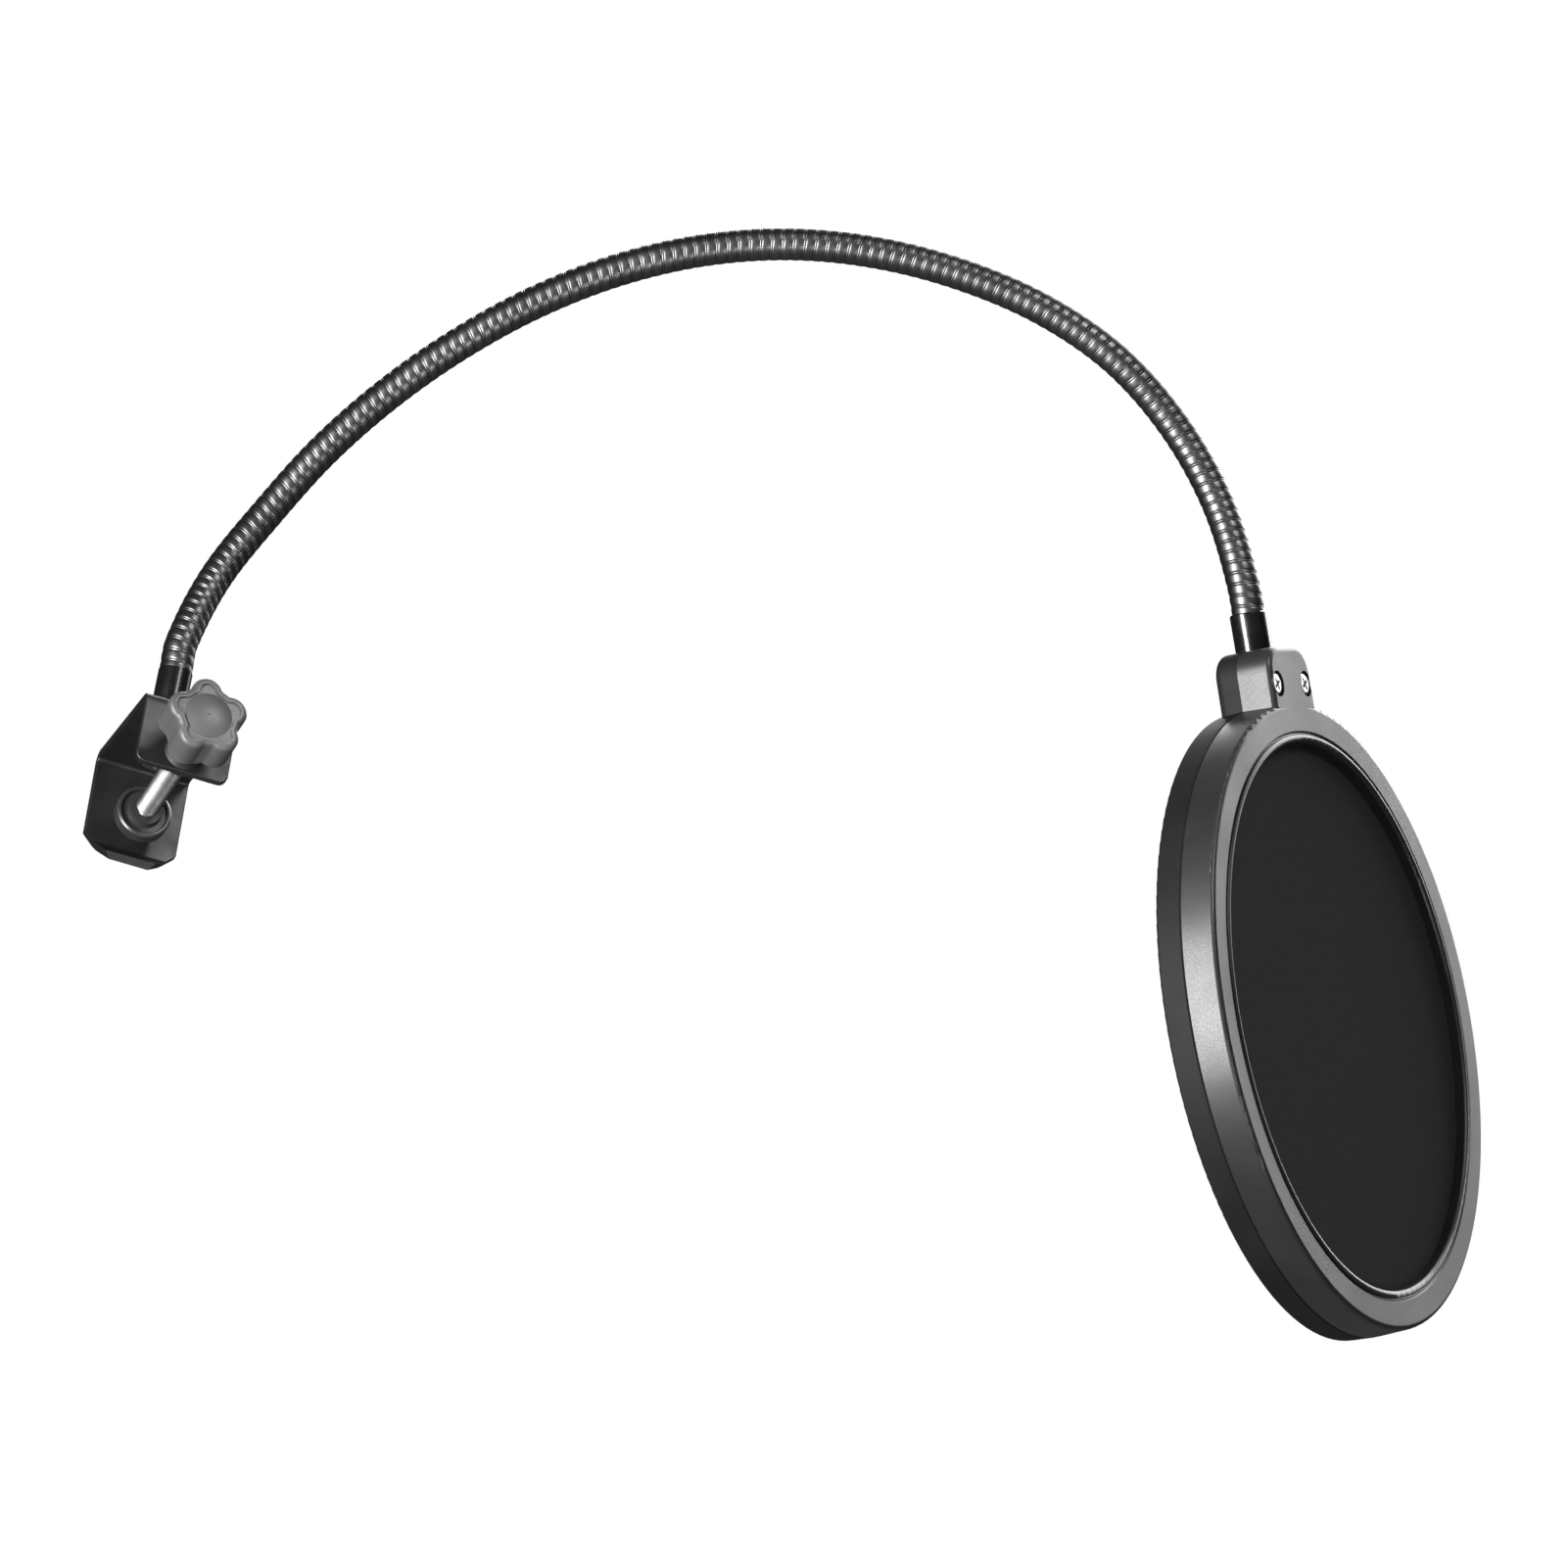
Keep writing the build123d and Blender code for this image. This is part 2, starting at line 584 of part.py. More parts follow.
with BuildPart() as front_shell:
    with BuildSketch(ring_section):
        with BuildLine():
            outer_wall(1, FRONT_ROUND)
            lip_and_skirt(1)
        make_face()
    revolve(axis=ring_axis)
    add(front_tab.part)
    add(ferrule_channel.part, mode=Mode.SUBTRACT)
    with BuildSketch(ring.offset(SCREW_SEAT)):
        with Locations(*tab_screw_places):
            Circle(SCREW_RECESS_RADIUS)
    extrude(amount=RING_HALF, mode=Mode.SUBTRACT)
    with BuildSketch(ring.offset(SEAM)):
        with Locations(*tab_screw_places):
            Circle(SCREW_SHANK_RADIUS + SCREW_SHANK_PLAY)
    extrude(amount=RING_HALF, mode=Mode.SUBTRACT)
front_shell.part.label = "front_shell"
export_step(front_shell.part, "parts/front_shell.step")

with BuildPart() as rear_shell:
    with BuildSketch(ring_section):
        with BuildLine():
            outer_wall(-1, REAR_ROUND)
            lip_and_skirt(-1)
        make_face()
    revolve(axis=ring_axis)
    add(rear_tab.part)
    add(ferrule_channel.part, mode=Mode.SUBTRACT)
    with BuildSketch(ring.offset(SCREW_TIP - SCREW_TIP_ROOM)):
        with Locations(*tab_screw_places):
            Circle(SCREW_SHANK_RADIUS + CLEARANCE)
    extrude(amount=SEAM - SCREW_TIP + SCREW_TIP_ROOM, mode=Mode.SUBTRACT)
rear_shell.part.label = "rear_shell"
export_step(rear_shell.part, "parts/rear_shell.step")

# ---- Tab screws: two alike, in one node --------------------------------------------------------------

with BuildPart() as tab_screws:
    with BuildSketch(ring.offset(SCREW_SEAT)):
        with Locations(*tab_screw_places):
            Circle(SCREW_HEAD_RADIUS)
    extrude(amount=SCREW_HEAD)
    fillet(tab_screws.edges().group_by(ring_axis)[-1], radius=SCREW_HEAD_ROUND)
    with BuildSketch(ring.offset(SCREW_TIP)):
        with Locations(*tab_screw_places):
            Circle(SCREW_SHANK_RADIUS)
    extrude(amount=SCREW_SEAT - SCREW_TIP)
    with BuildSketch(ring.offset(SCREW_SEAT + SCREW_HEAD)):
        with Locations(*tab_screw_places):
            Rectangle(*SCREW_CROSS, rotation=SCREW_CROSS_TURN)
            Rectangle(*SCREW_CROSS, rotation=SCREW_CROSS_TURN + 90)
    extrude(amount=-SCREW_CROSS_DEPTH, mode=Mode.SUBTRACT)
tab_screws.part.label = "tab_screws"
export_step(tab_screws.part, "parts/tab_screws.step")

# ---- Spacer ring and the two meshes ------------------------------------------------------------------

SPACER_SETBACK = 0.5  # behind the lip of the opening, so that it doesn't show
spacer_half = MESH_HEIGHT - MESH / 2

with BuildPart() as spacer_ring:
    with BuildSketch(ring.offset(-spacer_half)):
        Circle(MESH_RADIUS)
        Circle(OPENING_RADIUS + SPACER_SETBACK, mode=Mode.SUBTRACT)
    extrude(amount=2 * spacer_half)
spacer_ring.part.label = "spacer_ring"
export_step(spacer_ring.part, "parts/spacer_ring.step")

with BuildPart() as front_mesh:
    with BuildSketch(ring.offset(spacer_half)):
        Circle(MESH_RADIUS)
    extrude(amount=MESH)
front_mesh.part.label = "front_mesh"
export_step(front_mesh.part, "parts/front_mesh.step")

with BuildPart() as rear_mesh:
    with BuildSketch(ring.offset(-spacer_half)):
        Circle(MESH_RADIUS)
    extrude(amount=-MESH)
rear_mesh.part.label = "rear_mesh"
export_step(rear_mesh.part, "parts/rear_mesh.step")
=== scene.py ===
import json
import math

import bmesh
import bpy
import numpy as np
from mathutils import Matrix, Vector


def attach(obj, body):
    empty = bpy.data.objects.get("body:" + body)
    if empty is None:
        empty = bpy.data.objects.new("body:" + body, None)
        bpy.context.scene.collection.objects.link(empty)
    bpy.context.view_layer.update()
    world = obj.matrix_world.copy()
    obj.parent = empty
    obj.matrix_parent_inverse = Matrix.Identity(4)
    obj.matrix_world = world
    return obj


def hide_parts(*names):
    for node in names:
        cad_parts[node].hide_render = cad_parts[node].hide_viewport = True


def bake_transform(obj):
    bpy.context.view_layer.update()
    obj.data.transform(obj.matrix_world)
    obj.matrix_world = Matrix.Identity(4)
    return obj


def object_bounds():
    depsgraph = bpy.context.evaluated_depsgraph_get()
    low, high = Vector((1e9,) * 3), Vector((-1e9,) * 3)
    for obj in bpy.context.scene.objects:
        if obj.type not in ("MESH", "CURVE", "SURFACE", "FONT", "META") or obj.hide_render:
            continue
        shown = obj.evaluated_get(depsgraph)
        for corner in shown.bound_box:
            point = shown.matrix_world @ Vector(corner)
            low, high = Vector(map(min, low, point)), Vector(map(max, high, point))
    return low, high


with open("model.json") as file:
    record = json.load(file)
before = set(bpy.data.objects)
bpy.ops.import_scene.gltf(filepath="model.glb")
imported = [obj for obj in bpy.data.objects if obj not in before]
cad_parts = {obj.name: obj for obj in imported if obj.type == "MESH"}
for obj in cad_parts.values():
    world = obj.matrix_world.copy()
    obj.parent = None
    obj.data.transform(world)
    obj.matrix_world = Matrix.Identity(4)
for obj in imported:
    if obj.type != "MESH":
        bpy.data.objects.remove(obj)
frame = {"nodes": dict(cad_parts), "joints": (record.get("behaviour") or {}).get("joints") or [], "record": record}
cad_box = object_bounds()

# A pop filter: a ring with two stretched meshes, on a wound gooseneck that stands on a screw clamp.
# Metres throughout, in the frame's own axes.

MM = 0.001

# ---- Places, read from the frame -----------------------------------------------------------------

joints = {joint["name"]: joint for joint in frame["joints"]}
nodes = frame["nodes"]


def unit(vector):
    vector = np.asarray(vector, float)
    return vector / np.linalg.norm(vector)


def place(joint):
    return np.array(joint["pos_m"])


def middle_of(node):
    """The middle of the box round a node's vertices, which is the centre of a round piece."""
    mesh = nodes[node].data
    spots = np.empty(len(mesh.vertices) * 3)
    mesh.vertices.foreach_get("co", spots)
    spots = spots.reshape(-1, 3)
    return (spots.min(0) + spots.max(0)) / 2


screw_out = unit(joints["knob_turn"]["axis"])  # along the clamp screw, from the fixed jaw to the knob

neck_joints = [joint for joint in frame["joints"] if joint["child"].startswith(("neck_", "filter_head"))]
pivots = [place(joint) for joint in neck_joints]
neck_rise = unit(pivots[0] - middle_of("neck_washer"))  # the way that the lower ferrule points

ring_centre = (middle_of("front_mesh") + middle_of("rear_mesh")) / 2
ring_front = unit(middle_of("front_mesh") - middle_of("rear_mesh"))
to_neck = pivots[-1] - ring_centre
ring_up = unit(to_neck - to_neck.dot(ring_front) * ring_front)
ring_side = np.cross(ring_up, ring_front)


# ---- Mesh helpers --------------------------------------------------------------------------------

SHARP_OVER = 40.0  # degrees


def piece_from(name, spots, faces):
    """A smooth-shaded mesh with its normals facing out, and edges sharper than SHARP_OVER kept crisp."""
    mesh = bpy.data.meshes.new(name)
    mesh.from_pydata([tuple(spot) for spot in spots], [], faces)
    shape = bmesh.new()
    shape.from_mesh(mesh)
    bmesh.ops.recalc_face_normals(shape, faces=shape.faces)
    shape.to_mesh(mesh)
    shape.free()
    mesh.shade_smooth()
    mesh.set_sharp_from_angle(angle=math.radians(SHARP_OVER))
    piece = bpy.data.objects.new(name, mesh)
    bpy.context.scene.collection.objects.link(piece)
    return piece


class Route:
    """A smooth line through points, with a frame that doesn't twist, read at any length along it."""

    def __init__(self, points, first_way, last_way, reads=24):
        points = np.array(points, float)
        spans = np.linalg.norm(np.diff(points, axis=0), axis=1)
        inner_ways = [unit(points[k + 1] - points[k - 1]) for k in range(1, len(points) - 1)]
        ways = [first_way, *inner_ways, last_way]
        line = [points[0]]
        for k, span in enumerate(spans):
            for part in np.arange(1, reads + 1) / reads:
                rise = part * part * (3 - 2 * part)
                leave, arrive = part * (1 - part) ** 2, -part * part * (1 - part)
                bow = span * (leave * ways[k] + arrive * ways[k + 1])
                line.append(points[k] * (1 - rise) + points[k + 1] * rise + bow)
        self.line = np.array(line)
        steps = np.diff(self.line, axis=0)
        self.lengths = np.concatenate([[0.0], np.cumsum(np.linalg.norm(steps, axis=1))])
        self.length = self.lengths[-1]
        self.ways = np.array([unit(way) for way in np.gradient(self.line, self.lengths, axis=0)])
        side = unit(np.cross(self.ways[0], (0.0, 1.0, 0.0)))
        sides = []
        for way in self.ways:
            side = unit(side - side.dot(way) * way)
            sides.append(side)
        self.sides = np.array(sides)

    def read(self, values, length):
        return np.stack([np.interp(length, self.lengths, values[:, axis]) for axis in range(3)], axis=-1)

    def at(self, length):
        """Centre and two directions across, at lengths along the line, which is straight past its ends."""
        length = np.asarray(length, float)
        inside = np.clip(length, 0, self.length)
        way, side = self.read(self.ways, inside), self.read(self.sides, inside)
        centre = self.read(self.line, inside) + way * (length - inside)[..., None]
        return centre, side, np.cross(way, side)

    def nearest(self, point):
        """The length at which the line passes closest to a point."""
        return self.lengths[np.argmin(np.linalg.norm(self.line - point, axis=1))]


def wound(name, route, profile, pitch, first, last, per_turn, hand=1):
    """A profile drawn across one pitch and wound along a route, from one step to another, with closed ends.

    profile is (share of the pitch, radius) pairs. Each turn's far edge is the next turn's near edge, so the
    skin has no seam. hand is 1 for a right-hand winding and -1 for a left-hand one."""
    shares = np.array([share for share, _ in profile])
    radii = np.array([radius for _, radius in profile])
    columns = len(profile)
    spots, index = [], {}

    def vertex(step, column):
        if column == columns:
            step, column = step + per_turn, 0
        if (step, column) not in index:
            index[step, column] = len(spots)
            spots.append((step, column))
        return index[step, column]

    faces = [
        (
            vertex(step, column),
            vertex(step + 1, column),
            vertex(step + 1, column + 1),
            vertex(step, column + 1),
        )
        for step in range(first, last)
        for column in range(columns)
    ]
    for end in (first, last):
        rim = [vertex(step, 0) for step in range(end, end + per_turn + 1)]
        rim += [vertex(end, column) for column in range(columns - 1, 0, -1)]
        hub = len(spots)
        spots.append((end + per_turn / 2, None))
        faces += [(one, other, hub) for one, other in zip(rim, rim[1:] + rim[:1])]
    steps = np.array([step for step, _ in spots], float)
    picks = np.array([0 if column is None else column for _, column in spots])
    open_radius = np.array([0.0 if column is None else radii[column] for _, column in spots])
    centre, side, across = route.at(pitch * (steps / per_turn + shares[picks]))
    turn = (hand * 2 * math.pi * steps / per_turn)[:, None]
    return piece_from(
        name,
        centre + open_radius[:, None] * (np.cos(turn) * side + np.sin(turn) * across),
        faces,
    )


# ---- Materials -----------------------------------------------------------------------------------

class Recipe:
    """A node material, built up by short calls around one Principled shader."""

    def __init__(self, name, **sockets):
        self.material = bpy.data.materials.new(name)
        self.material.use_nodes = True
        self.tree = self.material.node_tree
        self.shader = self.tree.nodes["Principled BSDF"]
        for socket, value in sockets.items():
            self.set(self.shader, socket.replace("_", " "), value)
        self.coordinates = self.tree.nodes.new("ShaderNodeTexCoord").outputs["Object"]

    def set(self, node, socket, value):
        if isinstance(value, bpy.types.NodeSocket):
            self.tree.links.new(value, node.inputs[socket])
        else:
            node.inputs[socket].default_value = value

    def node(self, kind, output=0, settings=None, **sockets):
        made = self.tree.nodes.new(kind)
        for setting, value in (settings or {}).items():
            setattr(made, setting, value)
        for socket, value in sockets.items():
            name = int(socket[1:]) if socket[0] == "n" and socket[1:].isdigit() else socket.replace("_", " ")
            self.set(made, name, value)
        return made.outputs[output]

    def math(self, operation, one, other=0.0):
        return self.node("ShaderNodeMath", settings={"operation": operation}, n0=one, n1=other)

    def noise(self, size, detail=3.0, roughness=0.55, stretch=None):
        """Noise whose grains are about size across, in metres."""
        where = self.coordinates
        if stretch:
            where = self.node("ShaderNodeMapping", Vector=where, Scale=stretch)
        return self.node(
            "ShaderNodeTexNoise",
            output="Fac",
            Vector=where,
            Scale=1 / size,
            Detail=detail,
            Roughness=roughness,
        )

    def spread(self, value, low, high, start=0.3, end=0.7):
        """Maps a value that runs from start to end onto low to high."""
        return self.node(
            "ShaderNodeMapRange", Value=value, From_Min=start, From_Max=end, To_Min=low, To_Max=high
        )

    def mix(self, share, one, other):
        mixer = self.tree.nodes.new("ShaderNodeMix")
        mixer.data_type = "RGBA"
        self.set(mixer, "Factor", share)
        for slot, colour in ((6, one), (7, other)):
            self.set(mixer, slot, colour if isinstance(colour, bpy.types.NodeSocket) else (*colour, 1.0))
        return mixer.outputs[2]

    def base(self, colour):
        self.set(self.shader, "Base Color", colour)

    def rough(self, value):
        self.set(self.shader, "Roughness", value)

    def bump(self, height, distance, strength=1.0, under=None):
        sockets = {"Height": height, "Distance": distance, "Strength": strength}
        if under is not None:
            sockets["Normal"] = under
        normal = self.node("ShaderNodeBump", **sockets)
        self.set(self.shader, "Normal", normal)
        return normal


MOULD_GRAIN = 0.28 * MM
MOULD_DEPTH = 0.018 * MM


def moulded_plastic(name, dark, pale, roughness, gloss=0.5):
    """Spark-eroded mould texture, with a cloudy shade and slightly polished patches where hands touch."""
    recipe = Recipe(name, Specular_IOR_Level=gloss)
    cloud = recipe.noise(14 * MM)
    fine = recipe.noise(MOULD_GRAIN, detail=2.0)
    handled = recipe.spread(recipe.noise(22 * MM, detail=4.0), -0.04, 0.04)
    recipe.base(recipe.mix(recipe.spread(cloud, 0.0, 1.0), dark, pale))
    recipe.rough(recipe.math("ADD", recipe.spread(fine, roughness - 0.05, roughness + 0.06), handled))
    recipe.bump(fine, MOULD_DEPTH, 0.8)
    return recipe.material


def black_paint(name, colour, roughness, peel, coat=0.0):
    """Paint or powder coat with a slight orange peel, fine specks and a few hair-thin rubs."""
    recipe = Recipe(name, Coat_Weight=coat, Coat_Roughness=0.12)
    ripple = recipe.noise(1.1 * MM, detail=2.0)
    specks = recipe.noise(0.18 * MM, detail=1.0)
    rubs = recipe.noise(1.6 * MM, detail=6.0, roughness=0.8, stretch=(1.0, 1.0, 0.12))
    lighter = [2.5 * part + 0.004 for part in colour]
    recipe.base(recipe.mix(recipe.spread(rubs, 0.0, 1.0, 0.62, 0.74), colour, lighter))
    recipe.rough(recipe.spread(recipe.noise(6 * MM), roughness - 0.05, roughness + 0.07))
    under = recipe.bump(ripple, peel, 0.6)
    recipe.bump(specks, peel * 0.25, 0.5, under=under)
    return recipe.material


def plated_metal(name, colour, roughness):
    """Plated steel, with a very fine grain and a cloudy shade."""
    recipe = Recipe(name, Metallic=1.0)
    cloud = recipe.noise(3.5 * MM)
    grain = recipe.noise(0.12 * MM, detail=2.0)
    dull = [part * 0.72 for part in colour]
    recipe.base(recipe.mix(recipe.spread(cloud, 0.0, 1.0), dull, colour))
    recipe.rough(recipe.spread(grain, roughness - 0.06, roughness + 0.1))
    recipe.bump(grain, 0.006 * MM, 0.5)
    return recipe.material


def coil_metal():
    """Black plated spring wire, with a fine drawn grain and a smeared shade."""
    recipe = Recipe("coil_black", Metallic=1.0)
    drawn = recipe.noise(0.25 * MM, detail=2.0)
    smear = recipe.noise(9 * MM)
    recipe.base(recipe.mix(recipe.spread(smear, 0.0, 1.0), (0.09, 0.09, 0.092), (0.125, 0.125, 0.128)))
    recipe.rough(recipe.spread(drawn, 0.34, 0.42))
    recipe.bump(drawn, 0.008 * MM, 0.4)
    return recipe.material


WEAVE_PITCH = 0.55 * MM
THREAD_HALF = 0.36  # of the pitch
THREAD_LIFT = 0.35  # how much higher the thread on top stands
THREAD_EDGE = 0.02  # a crown lower than this is the gap between threads


def woven_mesh():
    """Close plain weave of black nylon, drawn in the cloth's own plane, with near-black gaps between threads:
    painted shade where the gaps are holes.
    """
    recipe = Recipe("mesh_fabric", Roughness=0.9, Specular_IOR_Level=0.03)
    split = recipe.tree.nodes.new("ShaderNodeSeparateXYZ")
    recipe.set(split, "Vector", recipe.coordinates)
    crowns, numbers = [], []
    for axis in (0, 1):
        run = recipe.math("DIVIDE", split.outputs[axis], WEAVE_PITCH)
        numbers.append(recipe.math("FLOOR", run))
        offset = recipe.math("ABSOLUTE", recipe.math("SUBTRACT", recipe.math("FRACT", run), 0.5))
        crowns.append(recipe.spread(offset, 1.0, 0.0, 0.0, THREAD_HALF))
    over = recipe.math("MODULO", recipe.math("ABSOLUTE", recipe.math("ADD", *numbers)), 2.0)
    raised = recipe.math("MULTIPLY", over, recipe.math("MULTIPLY", crowns[1], THREAD_LIFT))
    warp = recipe.math("ADD", crowns[0], raised)
    height = recipe.math("MAXIMUM", warp, crowns[1])
    thread = recipe.math("GREATER_THAN", recipe.math("MAXIMUM", *crowns), THREAD_EDGE)
    fuzz = recipe.noise(0.2 * MM)
    nylon = recipe.mix(recipe.spread(fuzz, 0.0, 1.0), (0.018, 0.018, 0.019), (0.034, 0.034, 0.036))
    # painted shade: the gaps between threads are holes, coloured near-black for the dark seen through them
    recipe.base(recipe.mix(thread, (0.004, 0.004, 0.004), nylon))
    recipe.bump(height, 0.1 * MM, 0.7)
    return recipe.material


finishes = {
    "bracket_paint": black_paint("bracket_paint", (0.006, 0.006, 0.0065), 0.42, 0.03 * MM),
    "ferrule_black": black_paint("ferrule_black", (0.004, 0.004, 0.0045), 0.22, 0.01 * MM, coat=0.8),
    "shell_plastic": moulded_plastic("shell_plastic", (0.012, 0.012, 0.013), (0.018, 0.018, 0.019), 0.4),
    "spacer_plastic": moulded_plastic("spacer_plastic", (0.02, 0.02, 0.021), (0.03, 0.03, 0.031), 0.5),
    "knob_plastic": moulded_plastic("knob_plastic", (0.05, 0.05, 0.052), (0.072, 0.072, 0.075), 0.42),
    "pad_rubber": moulded_plastic("pad_rubber", (0.016, 0.016, 0.016), (0.026, 0.026, 0.026), 0.72),
    "bright_zinc": plated_metal("bright_zinc", (0.66, 0.66, 0.68), 0.3),
    "bush_steel": plated_metal("bush_steel", (0.11, 0.11, 0.114), 0.46),
    "pad_metal": black_paint("pad_metal", (0.02, 0.02, 0.021), 0.34, 0.01 * MM),
    "insert_brass": plated_metal("insert_brass", (0.72, 0.52, 0.24), 0.3),
    "coil_black": coil_metal(),
    "mesh_fabric": woven_mesh(),
}


def finish_with(piece, slot):
    """Gives a new piece the finish of one of the record's material slots."""
    piece.data.materials.clear()
    piece.data.materials.append(finishes[slot])


for row in frame["record"]["subparts"]:
    for material_slot in nodes[row["node"]].material_slots:
        material_slot.material = finishes[row["material_slot"]]

# the rear half comes from a mould with a duller surface; its darker colour is painted shade on the side turned
# away from the lights
shaded_rear_plastic = moulded_plastic(
    "shell_plastic_rear_shaded", (0.007, 0.007, 0.0074), (0.01, 0.01, 0.0105), 0.6, gloss=0.13
)
for material_slot in nodes["rear_shell"].material_slots:
    material_slot.material = shaded_rear_plastic

# ---- Gooseneck: one winding, cut midway between its pivots ---------------------------------------

FERRULE_LEAD = 8 * MM  # from each ferrule's mouth to the nearest pivot
COIL_GRIP = 8 * MM
COIL_PITCH = 2.65 * MM
COIL_STEPS = 40
# the broad crown of the main wire, then the narrow wire that is wedged between its turns
COIL_PROFILE = [
    (0.00, 3.84 * MM),
    (0.05, 3.94 * MM),
    (0.12, 3.98 * MM),
    (0.24, 4.00 * MM),
    (0.42, 4.01 * MM),
    (0.58, 4.00 * MM),
    (0.70, 3.98 * MM),
    (0.77, 3.94 * MM),
    (0.82, 3.84 * MM),
    (0.87, 3.92 * MM),
    (0.91, 3.94 * MM),
    (0.95, 3.92 * MM),
]

neck_start = pivots[0] - neck_rise * FERRULE_LEAD
neck_end = pivots[-1] - ring_up * (FERRULE_LEAD + COIL_GRIP)
neck = Route([neck_start, *pivots, neck_end], neck_rise, -ring_up)

pivot_lengths = [neck.nearest(pivot) for pivot in pivots]
cuts = [(one + other) / 2 for one, other in zip(pivot_lengths, pivot_lengths[1:])]
cut_steps = [round(cut / COIL_PITCH * COIL_STEPS) for cut in cuts]
first_step = -COIL_STEPS
last_step = int(neck.length / COIL_PITCH * COIL_STEPS) - COIL_STEPS
step_bounds = [first_step, *cut_steps, last_step]
last_number = len(neck_joints)

for number, joint in enumerate(neck_joints, 1):
    coil = wound(
        f"gooseneck_winding_{number:02d}",
        neck,
        COIL_PROFILE,
        COIL_PITCH,
        step_bounds[number - 1],
        step_bounds[number],
        COIL_STEPS,
        hand=-1,
    )
    finish_with(coil, "coil_black")
    replaced = [f"gooseneck_coil_{number:02d}"]
    if number == last_number:
        replaced.append(f"gooseneck_coil_{number + 1:02d}")
    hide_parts(*replaced)
    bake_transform(coil)

# ---- Clamp screw: a real thread in place of the plain rod ----------------------------------------

THREAD_PITCH = 1.0 * MM
THREAD_STEPS = 32
THREAD_PROFILE = [
    (0.0, 2.42 * MM),
    (0.12, 2.42 * MM),
    (0.5, 2.9 * MM),
    (0.62, 2.9 * MM),
]

rod_spots = np.array([vertex.co for vertex in nodes["screw_rod"].data.vertices])
rod_reach = rod_spots @ screw_out
rod_from, rod_to = rod_reach.min(), rod_reach.max()
rod_line = Route([screw_out * rod_from, screw_out * rod_to], screw_out, screw_out)
thread_turns = int((rod_to - rod_from) / THREAD_PITCH) - 1
rod = wound(
    "threaded_rod", rod_line, THREAD_PROFILE, THREAD_PITCH, 0, thread_turns * THREAD_STEPS, THREAD_STEPS
)
finish_with(rod, "bright_zinc")
# the screw gets a darker copy of the bright zinc: painted shade that dims its highlights
rod.data.materials[0] = plated_metal("rod_zinc_shaded", (0.15, 0.15, 0.153), 0.42)
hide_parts("screw_rod")
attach(rod, "clamp_screw")

# ---- Meshes: two discs of cloth, stretched flat between the shells -------------------------------

MESH_RADIUS = 70.8 * MM
MESH_RINGS = 26
MESH_SPOKES = 180
PUCKER = 0.05 * MM
PUCKERS = 40


def cloth_disc(name, node, facing):
    """A stretched disc in a node's plane, with slight puckers where the shells pinch its rim."""
    spots, faces = [(0.0, 0.0, 0.0)], []
    for ring in range(1, MESH_RINGS + 1):
        share = ring / MESH_RINGS
        for spoke in range(MESH_SPOKES):
            turn = 2 * math.pi * spoke / MESH_SPOKES
            lift = PUCKER * share ** 10 * math.sin(PUCKERS * turn)
            spots.append((MESH_RADIUS * share * math.cos(turn), MESH_RADIUS * share * math.sin(turn), lift))
    for spoke in range(MESH_SPOKES):
        following = (spoke + 1) % MESH_SPOKES
        faces.append((0, 1 + spoke, 1 + following))
        for ring in range(MESH_RINGS - 1):
            near, far = 1 + ring * MESH_SPOKES, 1 + (ring + 1) * MESH_SPOKES
            faces.append((near + spoke, far + spoke, far + following, near + following))
    disc = piece_from(name, spots, faces)
    turned = Matrix.Identity(4)
    for column, way in enumerate((ring_side * facing, ring_up, ring_front * facing)):
        turned.col[column][:3] = way
    turned.translation = Vector(middle_of(node))
    disc.matrix_world = turned
    finish_with(disc, "mesh_fabric")
    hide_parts(node)
    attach(disc, "filter_head")


cloth_disc("front_cloth", "front_mesh", 1)
cloth_disc("rear_cloth", "rear_mesh", -1)

# ---- Floor, camera and lights --------------------------------------------------------------------

low, high = [np.array(corner) for corner in cad_box]
centre = (low + high) / 2

FLOOR_GAP = 110 * MM  # the ring swings down by 91 mm at its lowest joint limit
FLOOR_RADIUS = 0.6
FLOOR_GLOW = 0.45
FLOOR_BOUNCE = 0.1  # how much of the floor lights the object from below
FLOOR_SOLID = 0.2  # the floor fades out from here to its rim, into the plain backdrop
floor_mesh = bpy.data.meshes.new("floor")
floor_shape = bmesh.new()
bmesh.ops.create_circle(floor_shape, cap_ends=True, segments=96, radius=FLOOR_RADIUS)
floor_shape.to_mesh(floor_mesh)
floor_shape.free()
floor = bpy.data.objects.new("floor", floor_mesh)
floor.location = (centre[0], centre[1], low[2] - FLOOR_GAP)
bpy.context.scene.collection.objects.link(floor)
paper = Recipe("floor_paper", Roughness=0.9, Specular_IOR_Level=0.1)
paper.base(paper.mix(paper.spread(paper.noise(0.4), 0.0, 1.0), (0.86, 0.86, 0.86), (0.9, 0.9, 0.9)))
reach = paper.node(
    "ShaderNodeVectorMath", output="Value", settings={"operation": "LENGTH"}, n0=paper.coordinates
)
paper.set(paper.shader, "Emission Color", (1.0, 1.0, 1.0, 1.0))
paper.set(paper.shader, "Emission Strength", FLOOR_GLOW)
seen = paper.spread(paper.node("ShaderNodeLightPath", output="Is Camera Ray"), FLOOR_BOUNCE, 1.0, 0.0, 1.0)
fade = paper.spread(reach, 1.0, 0.0, FLOOR_SOLID, FLOOR_RADIUS)
paper.set(paper.shader, "Alpha", paper.math("MULTIPLY", fade, seen))
floor_mesh.materials.append(paper.material)

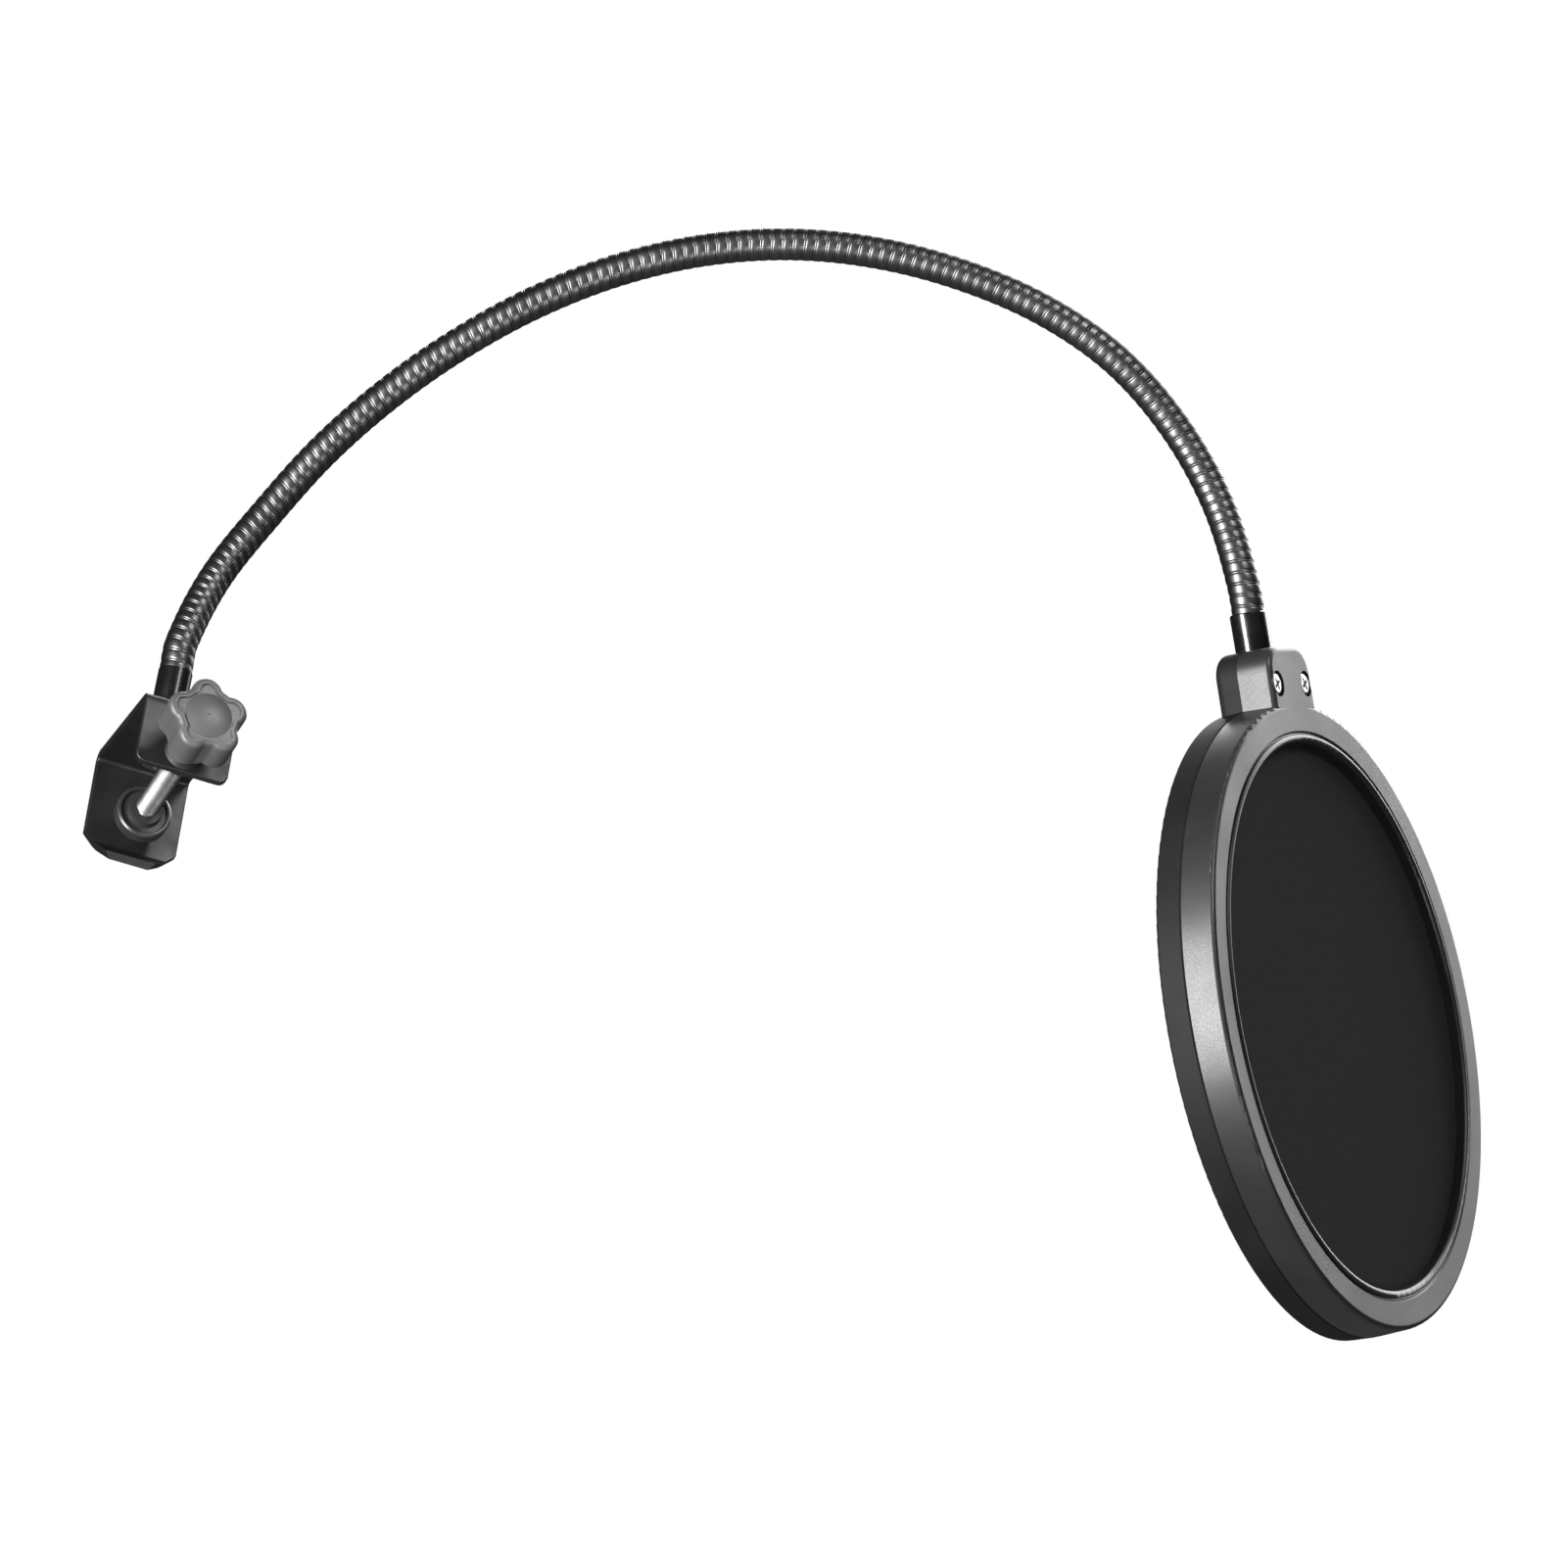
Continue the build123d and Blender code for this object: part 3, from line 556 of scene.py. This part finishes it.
LENS = 1400.0  # a longer one would put the object past the clip distance of the other views
SENSOR = 36.0
MARGIN = 1.12
widest = max(high[0] - low[0], high[2] - low[2]) * MARGIN
camera_data = bpy.data.cameras.new("camera")
camera_data.lens = LENS
camera_data.sensor_width = SENSOR
camera_data.clip_end = 100.0
camera = bpy.data.objects.new("camera", camera_data)
camera.location = (centre[0], centre[1] - widest * LENS / SENSOR, centre[2])
camera.rotation_euler = (math.radians(90), 0, 0)
bpy.context.scene.collection.objects.link(camera)
bpy.context.scene.camera = camera


def soft_light(name, azimuth, elevation, distance, size, power):
    """An area light that looks at the object. Azimuth 0 is on the camera's side, and grows to its right."""
    data = bpy.data.lights.new(name, "AREA")
    data.shape = "RECTANGLE"
    data.size, data.size_y = size
    data.energy = power
    lamp = bpy.data.objects.new(name, data)
    around, up = math.radians(azimuth), math.radians(elevation)
    way = Vector((math.sin(around) * math.cos(up), -math.cos(around) * math.cos(up), math.sin(up)))
    lamp.location = Vector(centre) + way * distance
    lamp.rotation_euler = way.to_track_quat("Z", "Y").to_euler()
    bpy.context.scene.collection.objects.link(lamp)


soft_light("key", -38, 6, 1.7, (0.46, 1.5), 94)
soft_light("fill", 49, 46, 2.2, (0.5, 0.7), 20)
soft_light("low", 24, -20, 2.2, (0.4, 0.6), 14)
soft_light("rim", 135, 16, 2.5, (1.6, 1.4), 9)
soft_light("back", 160, 26, 2.4, (2.2, 1.8), 80)

ROOM_LIGHT = 0.02
world = bpy.data.worlds.new("world")
world.use_nodes = True
world_tree = world.node_tree
backdrop = world_tree.nodes["Background"]
backdrop.inputs["Color"].default_value = (1.0, 1.0, 1.0, 1.0)
ray = world_tree.nodes.new("ShaderNodeLightPath")
strength = world_tree.nodes.new("ShaderNodeMapRange")
strength.inputs["To Min"].default_value = ROOM_LIGHT
strength.inputs["To Max"].default_value = 1.0
world_tree.links.new(ray.outputs["Is Camera Ray"], strength.inputs["Value"])
world_tree.links.new(strength.outputs["Result"], backdrop.inputs["Strength"])
bpy.context.scene.world = world
bpy.context.scene.view_settings.view_transform = "Standard"
